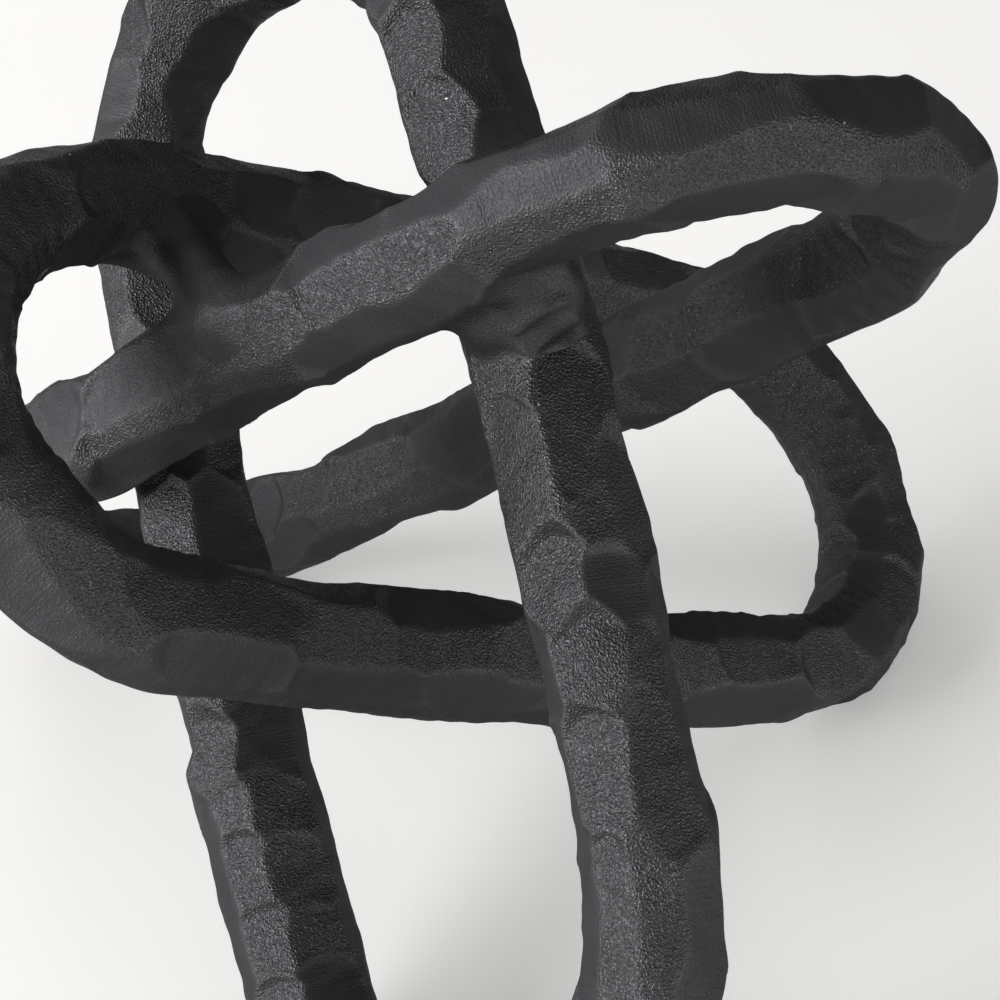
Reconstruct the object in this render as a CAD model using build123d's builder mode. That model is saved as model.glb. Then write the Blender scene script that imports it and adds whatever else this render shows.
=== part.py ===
"""Welded knot sculpture: three cast bar rings of one size, linked so that no two hold without the third.

The origin is on the floor, under the middle of the sculpture. +Z is up and +X runs to the right of the front.
Every ring is two castings joined at two seams. Welds hold the rings where they touch or run close.
"""
from build123d import *
import os
from math import acos, atan2, cos, degrees, hypot, radians, sin, sqrt

os.makedirs("parts", exist_ok=True)

# The bar is square with broad chamfers (millimetres)
BAR = 19.0
BAR_CHAMFER = 5.0

# Every ring is an oval with bowed long sides. Its length is that of the bar's centreline, end to end.
RING_LENGTH = 200.0
END_RADIUS = 37.0
SIDE_RADIUS = 900.0

# A seam's place is its distance from the bend of the shorter half. Turn, rise and lean are in degrees.

# The slanted ring stands on its tail, to the left, and its head reaches up to the right
SLANTED_X = -4.5
SLANTED_Y = 22.7
SLANTED_TURN = -21.0
SLANTED_RISE = 39.5
SLANTED_LEAN = 137.5
SLANTED_FRONT_SEAM = 7.7
SLANTED_BACK_SEAM = 65.7

# The wide ring stands on its head, to the right, and its tail reaches forward and up to the left.
# It slides level until its bar is a clearance away from the upright ring's bar.
WIDE_X = 8.7
WIDE_Y = 25.8
WIDE_TURN = 29.5
WIDE_RISE = -28.5
WIDE_LEAN = 32.0
WIDE_BACK_SEAM = 55.7
WIDE_FRONT_SEAM = 43.7
WIDE_CLEARANCE = 2.96

# The upright ring stands on its head, in front, and its tail is the arch at the back.
# It slides level until its bar is a clearance away from the slanted ring's bar.
UPRIGHT_X = -7.3
UPRIGHT_Y = -8.9
UPRIGHT_TURN = -74.0
UPRIGHT_RISE = -35.5
UPRIGHT_LEAN = 51.5
UPRIGHT_RIGHT_SEAM = 29.7
UPRIGHT_LEFT_SEAM = 29.7
UPRIGHT_CLEARANCE = 0.72

# Hammer flats that face the front: where one starts and ends along the bar (from the head, upper side first),
# the side of the bar that it faces (degrees, 0 outwards and 90 along the ring's axis), and its depth
SLANTED_FLATS = (
    (-24, -10, 45, 0.8),
    (-14, 2, 0, 0.5),
    (-10, 12, 38, 0.7),
    (12, 42, 40, 0.9),
    (18, 45, -15, 0.7),
    (43, 66, 48, 1.0),
    (42, 66, 10, 0.9),
    (66, 95, 15, 0.8),
    (66, 101, 60, 1.2),
    (96, 118, 20, 0.7),
    (101, 121, 58, 0.8),
    (106, 128, 95, 1.0),
    (118, 145, 5, 0.9),
    (121, 147, 42, 0.8),
    (405, 425, 135, 1.0),
    (428, 446, 160, 0.8),
)
WIDE_FLATS = (
    (140, 158, 105, 0.8),
    (158, 170, 95, 0.9),
    (183, 200, 108, 0.8),
    (258, 286, 22, 0.7),
    (268, 291, 55, 0.8),
    (283, 313, 85, 0.9),
    (291, 312, 38, 0.9),
    (312, 332, 66, 1.0),
    (314, 338, 28, 0.8),
    (330, 350, 112, 0.9),
    (332, 352, 78, 0.9),
    (388, 402, 66, 0.9),
    (403, 420, 84, 0.8),
    (424, 438, 75, 0.8),
    (18, 38, 140, 0.8),
)
UPRIGHT_FLATS = (
    (33, 60, 50, 0.6),
    (28, 62, 5, 0.6),
    (58, 79, 33, 1.0),
    (61, 79, 92, 0.5),
    (80, 92, 86, 0.6),
    (91, 108, 36, 1.0),
    (92, 105, 92, 0.6),
    (105, 126, 97, 0.7),
    (109, 131, 42, 0.9),
    (160, 178, 88, 0.7),
    (170, 190, 30, 0.8),
    (250, 268, 130, 0.9),
    (270, 281, 92, 1.0),
    (384, 398, 152, 0.9),
    (384, 403, -150, 1.2),
    (386, 399, 95, 0.7),
    (406, 418, 102, 0.7),
    (408, 421, 150, 0.8),
    (418, 431, 106, 0.7),
)

# Flats on the far side of every ring come in a steady beat, and sway to either side of its axis
BEAT = 33.0
BEAT_LENGTH = 21.0
BEAT_SIDE = -90.0
BEAT_SWAY = 14.0
BEAT_DEPTH = 0.9

# Every foot is ground flat this far into the bar
REST_DEPTH = 0.6

# A seam is a V groove round the bar, filled flush
SEAM_WIDTH = 6.0
SEAM_ROOT = 11.0

# Lumps of weld where two rings touch, and a waisted bridge where they only run close
WELD_RADIUS = 11.0
SHOULDER_WELD_RADIUS = 13.0
BRIDGE_WAIST = 6.5
BRIDGE_FLARE = 8.2

# Where the rings meet: directions from a ring's middle, in its own plane, measured from its head
SHOULDER_AT_SLANTED = 40.0
CROSSING_AT_SLANTED = 132.0
CROSSING_AT_WIDE = 140.0
BRIDGE_AT_SLANTED = 88.0
BRIDGE_AT_WIDE = 146.0

# Steps that settle a sliding ring
SLIDE_STEPS = 5

HALF_TURN = 180.0


class Ring:
    """An oval of four tangent arcs in a tilted plane, at the height where its low end rests on the floor.

    In that plane the head lies along +X, the tail along -X and the upper side along +Y.
    """

    end_x = RING_LENGTH / 2 - END_RADIUS
    # The side arcs touch both end arcs: their centres lie a difference of radii from the ends' centres
    side_y = sqrt((SIDE_RADIUS - END_RADIUS) ** 2 - end_x**2)
    end_angle = degrees(atan2(side_y, end_x))
    bend_x = SIDE_RADIUS * cos(radians(end_angle))

    def __init__(self, x, y, turn, rise, lean):
        tilt = Rotation(0, 0, turn) * Rotation(0, -rise, 0) * Rotation(lean, 0, 0)
        height = self.rest_height(Plane(tilt))
        self.plane = Plane(Location((x, y, height)) * tilt)
        side = HALF_TURN - 2 * self.end_angle
        with BuildLine(self.plane) as path:
            CenterArc((self.end_x, 0), END_RADIUS, -self.end_angle, 2 * self.end_angle)
            CenterArc((0, -self.side_y), SIDE_RADIUS, self.end_angle, side)
            CenterArc((-self.end_x, 0), END_RADIUS, HALF_TURN - self.end_angle, 2 * self.end_angle)
            CenterArc((0, self.side_y), SIDE_RADIUS, self.end_angle - HALF_TURN, side)
        self.path = path.wire()

    def rest_height(self, tilted):
        """Height of the ring's middle: the low end's arc, and the bar under it, reach down to the floor."""
        slope = hypot(tilted.x_dir.Z, tilted.y_dir.Z)
        edge_on = abs(tilted.z_dir.Z)
        half = BAR / 2
        corner = half - BAR_CHAMFER
        bar_reach = max(half * slope + corner * edge_on, corner * slope + half * edge_on)
        end_reach = self.end_x * abs(tilted.x_dir.Z) + END_RADIUS * slope
        return end_reach + bar_reach - REST_DEPTH

    def seam_angle(self, end, distance):
        """Angle on a side arc at a distance from the bend of the head (1) or the tail (-1)."""
        return degrees(acos(end * (self.bend_x - distance) / SIDE_RADIUS))

    def bar_plane(self, side, angle):
        """Cross-section plane of the bar on the upper (1) or lower (-1) side."""
        turn = radians(angle)
        across = side * (SIDE_RADIUS * sin(turn) - self.side_y)
        point = self.plane.from_local_coords((SIDE_RADIUS * cos(turn), across))
        along = self.plane.x_dir * -sin(turn) + self.plane.y_dir * (side * cos(turn))
        return Plane(origin=point, x_dir=self.plane.z_dir, z_dir=along)

    def flat_plane(self, place, side, depth):
        """Plane of a hammer flat at a place along the bar: X runs along the bar and Z away from it."""
        head_half = END_RADIUS * radians(self.end_angle)
        distance = (place + head_half) % self.path.length
        point = self.path.position_at(distance, PositionMode.LENGTH)
        along = self.path.tangent_at(distance, PositionMode.LENGTH)
        outward = along.cross(self.plane.z_dir)
        facing = outward * cos(radians(side)) + self.plane.z_dir * sin(radians(side))
        return Plane(origin=point + facing * (BAR / 2 - depth), x_dir=along, z_dir=facing)

    def point_at(self, angle):
        """The centreline's point in a direction from the ring's middle."""
        turn = radians(angle)
        outside = self.plane.from_local_coords((RING_LENGTH * cos(turn), RING_LENGTH * sin(turn)))
        return self.path.closest_points(Edge.make_line(self.plane.origin, outside))[0]


def slid_ring(other, clearance, x, y, turn, rise, lean):
    """A ring that is slid level, from a first place, until it is a clearance away from another ring's bar."""
    ring = Ring(x, y, turn, rise, lean)
    for _ in range(SLIDE_STEPS):
        distance, there, here = other.path.distance_to_with_closest_points(ring.path)
        away = here - there
        slide = (BAR + clearance - distance) * distance / (away.X**2 + away.Y**2)
        x += away.X * slide
        y += away.Y * slide
        ring = Ring(x, y, turn, rise, lean)
    return ring


def bar_section(size):
    """The chamfered square of the bar, drawn into the open sketch."""
    square = Rectangle(size, size)
    chamfer(square.vertices(), BAR_CHAMFER * size / BAR)


def strike(ring, flats):
    """Hammer flats, cut into the open part as blocks that reach a depth under the bar's skin."""
    for start, end, side, depth in flats:
        with Locations(ring.flat_plane((start + end) / 2, side, depth)):
            Box(end - start, BAR, BAR, align=(Align.CENTER, Align.CENTER, Align.MIN), mode=Mode.SUBTRACT)


def beat_flats(ring):
    """The flats of a ring's far side, one for each beat along its bar."""
    flats = []
    for beat in range(int(ring.path.length // BEAT)):
        side = BEAT_SIDE + BEAT_SWAY * (-1) ** beat
        flats.append((beat * BEAT, beat * BEAT + BEAT_LENGTH, side, BEAT_DEPTH))
    return flats


def cast_half(ring, flats, arcs, bevels, earlier):
    """The bar swept round one end of a ring, beveled at its seams, struck, and ground flat at the floor."""
    with BuildPart() as half:
        with BuildLine(ring.plane):
            for arc in arcs:
                CenterArc(*arc)
        with BuildSketch(bevels[0][0]):
            bar_section(BAR)
        sweep()
        for shoulder, seam in bevels:
            with BuildSketch(shoulder):
                bar_section(BAR)
            with BuildSketch(seam):
                bar_section(SEAM_ROOT)
            loft(ruled=True)
        strike(ring, flats)
        for solid in earlier:
            add(solid, mode=Mode.SUBTRACT)
        split(bisect_by=Plane.XY)
    return half


def seam_fill(ring, flats, shoulder_1, shoulder_2, neighbours):
    """Filler metal between the two shoulders of a seam, flush with the bar."""
    with BuildPart() as fill:
        with BuildSketch(shoulder_1):
            bar_section(BAR)
        with BuildSketch(shoulder_2):
            bar_section(BAR)
        loft(ruled=True)
        strike(ring, flats)
        for solid in neighbours:
            add(solid, mode=Mode.SUBTRACT)
    return fill


def keep(builder, label):
    """Names a finished piece, writes it and remembers it for the pieces that meet it."""
    builder.part.label = label
    export_step(builder.part, f"parts/{label}.step")
    pieces.append(builder.part)


def make_ring(ring, front_flats, short_end, upper_seam, lower_seam, names):
    """The two castings of a ring and the two seams between them, coped clear of the rings made before.

    The shorter half is the one at the head (1) or at the tail (-1).
    """
    groove = degrees(SEAM_WIDTH / 2 / SIDE_RADIUS)
    up = ring.seam_angle(short_end, upper_seam)
    low = ring.seam_angle(short_end, lower_seam)
    end = ring.end_angle
    upper_centre = (0, -ring.side_y)
    lower_centre = (0, ring.side_y)
    head_arcs = [
        (lower_centre, SIDE_RADIUS, groove - low, low - groove - end),
        ((ring.end_x, 0), END_RADIUS, -end, 2 * end),
        (upper_centre, SIDE_RADIUS, end, up - groove - end),
    ]
    tail_arcs = [
        (upper_centre, SIDE_RADIUS, up + groove, HALF_TURN - end - up - groove),
        ((-ring.end_x, 0), END_RADIUS, HALF_TURN - end, 2 * end),
        (lower_centre, SIDE_RADIUS, end - HALF_TURN, HALF_TURN - end - low - groove),
    ]
    upper_seam_plane = ring.bar_plane(1, up)
    lower_seam_plane = ring.bar_plane(-1, low)
    head_upper = ring.bar_plane(1, up - groove)
    head_lower = ring.bar_plane(-1, low - groove)
    tail_upper = ring.bar_plane(1, up + groove)
    tail_lower = ring.bar_plane(-1, low + groove)
    flats = [*front_flats, *beat_flats(ring)]
    earlier = list(pieces)
    head_bevels = [(head_lower, lower_seam_plane), (head_upper, upper_seam_plane)]
    tail_bevels = [(tail_upper, upper_seam_plane), (tail_lower, lower_seam_plane)]
    keep(cast_half(ring, flats, head_arcs, head_bevels, earlier), names[0])
    keep(cast_half(ring, flats, tail_arcs, tail_bevels, earlier), names[1])
    keep(seam_fill(ring, flats, head_upper, tail_upper, pieces), names[2])
    keep(seam_fill(ring, flats, head_lower, tail_lower, pieces), names[3])


def touch_weld(ring_1, angle, ring_2, radius, label):
    """A lump of weld round the spot where two bars touch."""
    point_1 = ring_1.point_at(angle)
    point_2 = ring_2.path.closest_points(point_1)[0]
    with BuildPart() as weld:
        with Locations((point_1 + point_2) / 2):
            Sphere(radius)
        for solid in pieces:
            add(solid, mode=Mode.SUBTRACT)
    keep(weld, label)


def bridge_weld(ring_1, angle_1, ring_2, angle_2, label):
    """A waisted pillar of weld from one bar to another that runs past it."""
    start = ring_1.point_at(angle_1)
    span = ring_2.point_at(angle_2) - start
    length = span.length
    across = ring_1.plane.z_dir.cross(span)
    axis_plane = Plane(origin=start, x_dir=across, z_dir=across.cross(span))
    with BuildPart() as weld:
        with BuildSketch(axis_plane):
            with BuildLine():
                waist = ThreePointArc((BRIDGE_FLARE, 0), (BRIDGE_WAIST, length / 2), (BRIDGE_FLARE, length))
                Polyline(waist @ 1, (0, length), (0, 0), waist @ 0)
            make_face()
        revolve(axis=Axis(start, span))
        for solid in pieces:
            add(solid, mode=Mode.SUBTRACT)
    keep(weld, label)


slanted = Ring(SLANTED_X, SLANTED_Y, SLANTED_TURN, SLANTED_RISE, SLANTED_LEAN)
upright = slid_ring(
    slanted,
    UPRIGHT_CLEARANCE,
    UPRIGHT_X,
    UPRIGHT_Y,
    UPRIGHT_TURN,
    UPRIGHT_RISE,
    UPRIGHT_LEAN,
)
wide = slid_ring(upright, WIDE_CLEARANCE, WIDE_X, WIDE_Y, WIDE_TURN, WIDE_RISE, WIDE_LEAN)

pieces = []
make_ring(
    slanted,
    SLANTED_FLATS,
    -1,
    SLANTED_FRONT_SEAM,
    SLANTED_BACK_SEAM,
    ("slanted_ring_top_half", "slanted_ring_foot_half", "slanted_ring_front_seam", "slanted_ring_back_seam"),
)
make_ring(
    wide,
    WIDE_FLATS,
    1,
    WIDE_BACK_SEAM,
    WIDE_FRONT_SEAM,
    ("wide_ring_foot_half", "wide_ring_top_half", "wide_ring_back_seam", "wide_ring_front_seam"),
)
make_ring(
    upright,
    UPRIGHT_FLATS,
    -1,
    UPRIGHT_RIGHT_SEAM,
    UPRIGHT_LEFT_SEAM,
    ("upright_ring_foot_half", "upright_ring_top_half", "upright_ring_right_seam", "upright_ring_left_seam"),
)
touch_weld(slanted, SHOULDER_AT_SLANTED, upright, SHOULDER_WELD_RADIUS, "shoulder_weld")
touch_weld(slanted, CROSSING_AT_SLANTED, upright, WELD_RADIUS, "slanted_to_upright_weld")
touch_weld(wide, CROSSING_AT_WIDE, upright, WELD_RADIUS, "wide_to_upright_weld")
bridge_weld(slanted, BRIDGE_AT_SLANTED, wide, BRIDGE_AT_WIDE, "slanted_to_wide_bridge")
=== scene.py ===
"""Looks of a welded knot sculpture: three linked rings of hammered, matte black cast bar, with their welds.

Lengths inside the shape functions are in millimetres, and the meshes are in metres.
"""
from collections import namedtuple
from math import atan2, cos, hypot, pi, radians, sqrt

import bpy
import numpy as np
from bpy.props import FloatProperty, FloatVectorProperty, IntProperty, PointerProperty
from mathutils import Euler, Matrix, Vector


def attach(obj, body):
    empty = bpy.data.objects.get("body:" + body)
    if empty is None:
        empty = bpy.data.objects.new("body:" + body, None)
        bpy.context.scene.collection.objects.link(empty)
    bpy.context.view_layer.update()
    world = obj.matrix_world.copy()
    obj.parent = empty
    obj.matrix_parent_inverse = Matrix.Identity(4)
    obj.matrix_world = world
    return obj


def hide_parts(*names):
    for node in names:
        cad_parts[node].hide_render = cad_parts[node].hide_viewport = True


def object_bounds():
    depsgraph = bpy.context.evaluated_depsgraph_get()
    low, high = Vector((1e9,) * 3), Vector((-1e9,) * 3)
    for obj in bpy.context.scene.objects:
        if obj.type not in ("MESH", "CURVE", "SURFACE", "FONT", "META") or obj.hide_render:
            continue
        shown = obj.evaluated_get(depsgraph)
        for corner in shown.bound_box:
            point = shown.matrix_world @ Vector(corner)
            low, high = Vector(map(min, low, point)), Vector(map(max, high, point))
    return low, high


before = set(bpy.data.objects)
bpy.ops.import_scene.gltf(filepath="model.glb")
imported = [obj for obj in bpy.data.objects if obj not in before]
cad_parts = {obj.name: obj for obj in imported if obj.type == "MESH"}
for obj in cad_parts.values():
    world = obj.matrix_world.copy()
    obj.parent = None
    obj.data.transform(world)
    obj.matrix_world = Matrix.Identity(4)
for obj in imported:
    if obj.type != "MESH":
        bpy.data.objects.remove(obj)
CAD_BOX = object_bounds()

bl_info = {
    "name": "Welded knot sculpture",
    "version": (1, 0, 0),
    "blender": (4, 5, 0),
    "location": "3D View > Sidebar > Knot",
    "description": "Builds the hammered castings, seams and welds of a knot of three linked rings",
    "category": "Add Mesh",
}

MM = 0.001
BODY = "root"
RING_NAMES = ("slanted", "wide", "upright")

# A hammer mark: its deep and its shallow end along the bar (mm from the ring's head), the side that it faces
# (degrees, 0 outwards and 90 along the ring's axis), its depth, its rise from end to end (mm), and whether
# it was ground smooth (1) or kept its cast grain (0)
Mark = namedtuple("Mark", "start end side depth rise ground")

# Marks on the stretches that face the front
FRONT_MARKS = {
    "slanted": (
        (2, -14, 0, 0.5, 0.2, 1), (12, -10, 38, 0.7, 0.2, 0), (-10, -24, 45, 0.8, 0.2, 1),
        (10, -10, 80, 1.0, 0.0, 1), (42, 12, 40, 0.9, 0.3, 0), (45, 18, -15, 0.7, 0.2, 1),
        (18, 2, -12, 0.5, 0.0, 1), (62, 40, -60, 1.2, 0.2, 0), (40, 20, -48, 1.4, 0.2, 0),
        (20, 4, -46, 0.5, 0.0, 0), (40, 14, 92, 1.6, 0.0, 1), (66, 43, 46, 1.5, 0.5, 0),
        (66, 42, 14, 0.9, 0.2, 1), (64, 42, 98, 1.6, 0.0, 1), (78, 45, -25, 0.6, 0.2, 1),
        (95, 66, 15, 0.8, 0.4, 0), (101, 66, 60, 0.8, 0.2, 1), (100, 70, 102, -0.2, 0.2, 1),
        (96, 78, -28, 0.8, 0.2, 1), (118, 96, 20, 0.7, 0.3, 0), (121, 101, 50, 0.8, 0.3, 0),
        (128, 106, 95, 1.0, 0.0, 1), (145, 118, 5, 0.9, 0.2, 1), (147, 121, 36, 0.8, 0.2, 0),
        (150, 128, 80, 0.9, 0.0, 1), (388, 404, 130, 0.6, 0.2, 0), (405, 425, 135, 1.0, 0.2, 1),
        (404, 425, 172, 0.6, 0.2, 0), (425, 448, 125, 0.7, 0.2, 1), (428, 446, 160, 0.8, 0.2, 0),
    ),
    "wide": (
        (38, 18, 140, 0.8, 0.2, 0), (18, 0, 150, 0.6, 0.2, 0), (158, 140, 105, 0.8, 0.2, 1),
        (170, 158, 95, 0.9, 0.3, 1), (178, 150, 52, 0.7, 0.2, 0), (182, 170, 100, 0.6, 0.3, 0),
        (200, 183, 108, 0.8, 0.3, 0), (203, 178, 60, 0.7, 0.3, 0), (214, 184, 30, 0.9, 0.2, 0),
        (258, 286, 22, 0.7, 0.2, 1), (268, 291, 55, 0.8, 0.3, 0), (275, 298, 122, 0.8, 0.0, 1),
        (283, 313, 85, 0.9, 0.3, 0), (291, 312, 38, 0.9, 0.2, 1), (285, 315, -5, -0.5, 0.2, 1),
        (312, 332, 66, 1.0, 0.3, 0), (314, 338, 28, 0.8, 0.2, 1), (315, 345, -2, -0.6, 0.2, 1),
        (345, 380, -4, -0.3, 0.2, 1), (330, 350, 112, 0.9, 0.2, 1), (332, 352, 78, 0.9, 0.3, 0),
        (338, 362, 34, 0.7, 0.2, 1), (352, 372, 72, 0.8, 0.3, 0), (390, 425, 122, 0.9, 0.2, 1),
        (388, 402, 66, 0.9, 0.3, 0), (395, 425, 28, 0.7, 0.2, 1), (403, 420, 84, 0.8, 0.3, 0),
        (424, 438, 75, 0.8, 0.3, 0),
    ),
    "upright": (
        (62, 38, 50, 0.6, 0.3, 0), (62, 28, 3, 0.6, 0.2, 1), (60, 33, 92, 0.5, 1.0, 0),
        (62, 33, 121, 0.8, 0.3, 1), (80, 58, 26, 0.8, 0.8, 0), (79, 61, 88, 1.2, 1.7, 0),
        (81, 75, 44, 0.6, -0.4, 0), (92, 79, 68, 1.3, 1.8, 0), (98, 63, -24, 0.8, 0.2, 1),
        (90, 79, 12, 0.6, 0.3, 0), (78, 60, 134, 0.6, 0.0, 1), (93, 79, 124, 0.6, 0.0, 1),
        (109, 100, 26, 0.7, 0.3, 0), (101, 90, 22, 0.9, 0.5, 1), (105, 92, 90, 1.5, 1.7, 0),
        (118, 100, -4, 0.8, 0.4, 0), (127, 105, 104, 0.8, 1.0, 0), (132, 108, 30, 1.0, 0.5, 0),
        (134, 126, 98, 0.3, 0.2, 0), (178, 160, 88, 0.7, 0.8, 0), (170, 148, 30, 0.8, 0.3, 1),
        (190, 170, 30, 0.8, 0.4, 0), (188, 165, -15, 0.8, 0.2, 1), (190, 178, 92, 0.6, 0.8, 0),
        (250, 268, 130, 0.9, 0.4, 0), (250, 275, 175, 0.9, 0.0, 1), (262, 272, 80, 0.7, 0.4, 0),
        (266, 284, 55, 0.8, 0.2, 1), (270, 281, 92, 1.0, 0.5, 1), (268, 284, 130, 0.7, 0.4, 0),
        (346, 364, 105, 0.6, 0.8, 0), (346, 372, 155, 0.9, 0.0, 1), (384, 398, 152, 0.9, 0.3, 1),
        (384, 403, -150, 0.3, 0.2, 1), (386, 399, 95, 0.7, 1.3, 0), (399, 406, 98, 0.5, 0.8, 0),
        (398, 408, 150, 0.7, 0.3, 0), (398, 432, 65, 0.8, 0.0, 1), (405, 428, -150, -0.5, 0.2, 1),
        (406, 418, 102, 0.7, 1.5, 0), (408, 421, 150, 0.8, 0.3, 0), (418, 431, 106, 0.7, 1.5, 0),
        (421, 429, 152, 0.7, 0.3, 0), (429, 446, 155, 0.9, 0.3, 1), (431, 445, 100, 0.6, 1.2, 0),
    ),
}

# The marks of the far side come in a steady beat, and sway to either side of the ring's axis
BEAT = 33.0
BEAT_LENGTH = 21.0
BEAT_SIDE = -90.0
BEAT_SWAY = 14.0
BEAT_DEPTH = 0.9
BEAT_RISE = 0.3

# Scattered marks: the spread of their lengths, depths and rises as shares of the usual length and depth, of
# their sides as a share of a row's width, and the share of them that is ground
SCATTER_LENGTHS = (0.6, 1.4)
SCATTER_DEPTHS = (-0.3, 1.7)
SCATTER_RISES = (-0.6, 1.2)
SCATTER_SIDE = 0.13
SCATTER_GROUND = 0.25

# A large mark takes the place of scattered ones that face within this turn of its side
COVER_TURN = 42.0

# How flat a mark is across: 1 is a plane, 0 is round
CROWN = 0.88
LEAST_COSINE = 0.05

# The dip in a mark's middle, and the share of its length to either side that rises
DIP = 0.2
RISE_REACH = 0.6

# Slope of the wall at a mark's deep end, how much steeper it is for each millimetre of rise, and the slope
# past the shallow end
WALL_SLOPE = 0.45
WALL_STEEPENING = 0.35
LIP_SLOPE = 0.3

# A mark's ends are tongues: they draw in by a share of its length at a turn from its side (radians), and no
# more past a limit, counted in such turns
TONGUE_PULL = 0.16
TONGUE_TURN = 0.55
TONGUE_LIMIT = 1.2

# The bar's round limit as a share of its half width, and how softly and how widely marks meet in ridges
ROUND_LIMIT = 1.11
EDGE_SOFTNESS = 0.19
RIDGE_WIDTH = 0.35

# Waves that sway the marks' edges along (mm) and round the bar (radians), and that roughen the bar (mm):
# height, least number round the ring and its limit, most twists, and how many are added up
EDGE_SWAY = (0.2, 8, 36, 3, 9)
EDGE_TWIST = (0.018, 8, 36, 2, 9)
BAR_WAVES = (0.085, 3, 26, 2, 9)
FINE_WAVES = (0.014, 50, 130, 9, 16)

# The seams of each ring: the shorter half's end (1 head, -1 tail), the distances from its bend to the seam on
# the upper and on the lower side, and their names
SEAMS = {
    "slanted": (-1, 7.7, 65.7, "front", "back"),
    "wide": (1, 55.7, 43.7, "back", "front"),
    "upright": (-1, 29.7, 29.7, "right", "left"),
}
HEAD_HALF = {"slanted": "top_half", "wide": "foot_half", "upright": "foot_half"}
TAIL_HALF = {"slanted": "foot_half", "wide": "top_half", "upright": "top_half"}

# How much lower a seam is dressed at its edges, and how suddenly
SEAM_DRESSING = 0.12
SEAM_DRESSING_POWER = 6

# Where the rings meet: directions in a ring's plane, in degrees from its head
SHOULDER_AT = 40.0
CROSSING_AT_SLANTED = 132.0
CROSSING_AT_WIDE = 140.0

# How far each weld reaches from its crossing, and how widely it blends the bars
WELD_REACH = {
    "shoulder_weld": (21.0, 5.0),
    "slanted_to_upright_weld": (10.5, 5.0),
    "wide_to_upright_weld": (11.5, 8.0),
}

# How far under the bars' skin a weld's skirt runs, and how much deeper over the last share of its reach
WELD_SINK = 0.3
WELD_EDGE_SINK = 0.35
WELD_EDGE = 0.25

# Uneven skin of a weld: a wave over the rays' directions, swayed by a second one
WELD_WAVE_HEIGHT = 0.1
WELD_WAVE = (5.0, 3.0, 9.0)
WELD_SWAY = 2.0
WELD_SWAY_WAVE = (7.0, -4.0, 2.0)

# Where the bridge's axis ends inside the slanted and the wide bar: place, side and distance from the bar's
# axis, and the bridge's radius there
PILLAR_IN_SLANTED = (112.0, -37.0, 7.0, 4.7)
PILLAR_IN_WIDE = (177.3, -160.0, 4.5, 6.0)

# How far the bridge reaches from its axis, how widely it blends, and the share of its rows that fan out at
# each end
PILLAR_REACH = 11.0
PILLAR_BLEND = 6.0
PILLAR_FAN = 0.25

# Uneven skin of the bridge: the height of its waves, their number round it, their twist, and number along it
PILLAR_WAVE_HEIGHT = 0.06
PILLAR_WAVES_ROUND = 3
PILLAR_WAVE_TWIST = 15
PILLAR_WAVES_ALONG = 9

# Ripples of the shoulder weld: two ends each, as places along and sides round the upright ring's bar
SHOULDER_RIPPLES = (
    ((134.4, 62.0), (135.9, 34.0)),
    ((132.1, 52.0), (134.3, 22.0)),
    ((131.9, 62.0), (131.2, 58.0)),
)
RIPPLE_HEIGHT = 0.65
RIPPLE_WIDTH = 0.5

# The shoulder weld's puddle on the upright bar: place, side, half length, half turn in degrees, and height
PUDDLE_PLACE = 135.0
PUDDLE_SIDE = 40.0
PUDDLE_LENGTH = 3.6
PUDDLE_TURN = 42.0
PUDDLE_HEIGHT = 1.3

# The shoulder weld's bead, in the corner between the bars: at each end its place, side and distance from the
# upright bar's axis, and its radius
BEAD_ENDS = ((139.3, 84.0, 10.0, 5.0), (139.8, 36.0, 12.6, 6.2))

# Steps of the bar's surface along and around it, and of the coarser skin that the welds follow
ROW_STEP = 0.45
AROUND = 136
SKIN_STEP = 0.7
SKIN_AROUND = 108

# Rows and columns of the welds' and the bridge's surfaces, steps of a ray, and places tried on a ring
WELD_GRID = (130, 200)
PILLAR_GRID = (180, 120)
RAY_STEPS = 90
PLACE_STEPS = 4000

# Coats by slot: material, setting of its colour, share of the grain, roughness, and whether it follows a bar
COATS = {
    "cast_metal": ("Cast black", "coat_colour", 1.0, 0.43, True),
    "weld_metal": ("Weld black", "weld_colour", 0.5, 0.54, False),
}

# Cast grain: how much finer its small pebbles are, their share, its mean height, and its patches' scale
FINE_GRAIN_SCALE = 2.3
FINE_GRAIN_SHARE = 0.18
GRAIN_MEAN = 0.59
PATCH_SCALE = 0.045

# A speck of dust's radius in its cell
DUST_RADIUS = 0.045

# On ground faces: the share of grain that is lost, the height of file marks, and the added roughness
GROUND_LOSS = 0.62
FILE_HEIGHT = 0.34
GROUND_ROUGHNESS = 0.2

# Thin coat in patches and on ridges, uneven roughness, and how much smoother the grain is at its tops
PATCH_WEAR = 0.5
RIDGE_WEAR = 0.8
PATCH_ROUGHNESS = 0.16
POLISH = 1.1

# A Mix node's colour sockets, which share their names with its other sockets
MIX_FIRST, MIX_SECOND, MIX_RESULT = 6, 7, 2

# Half the floor's width, and how much darker its mottles are
FLOOR_HALF = 3.0
MOTTLE_SHADE = 0.97

# Soft lights: name, the setting of its power, where it stands, where it is aimed, its width and its height
LIGHTS = (
    ("left window", "key_power", (-1.6, -0.58, 0.62), (0.0, -0.05, 0.62), 1.2, 1.15),
    ("back window", "back_power", (-1.55, 1.84, 1.2), (0.0, 0.0, 0.4), 2.1, 2.0),
    ("overhead", "top_power", (0.1, 0.2, 2.0), (0.1, 0.1, 0.0), 3.2, 2.6),
    ("right strip", "fill_power", (1.35, -1.0, 0.18), (0.0, 0.0, 0.07), 2.6, 0.3),
)


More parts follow.
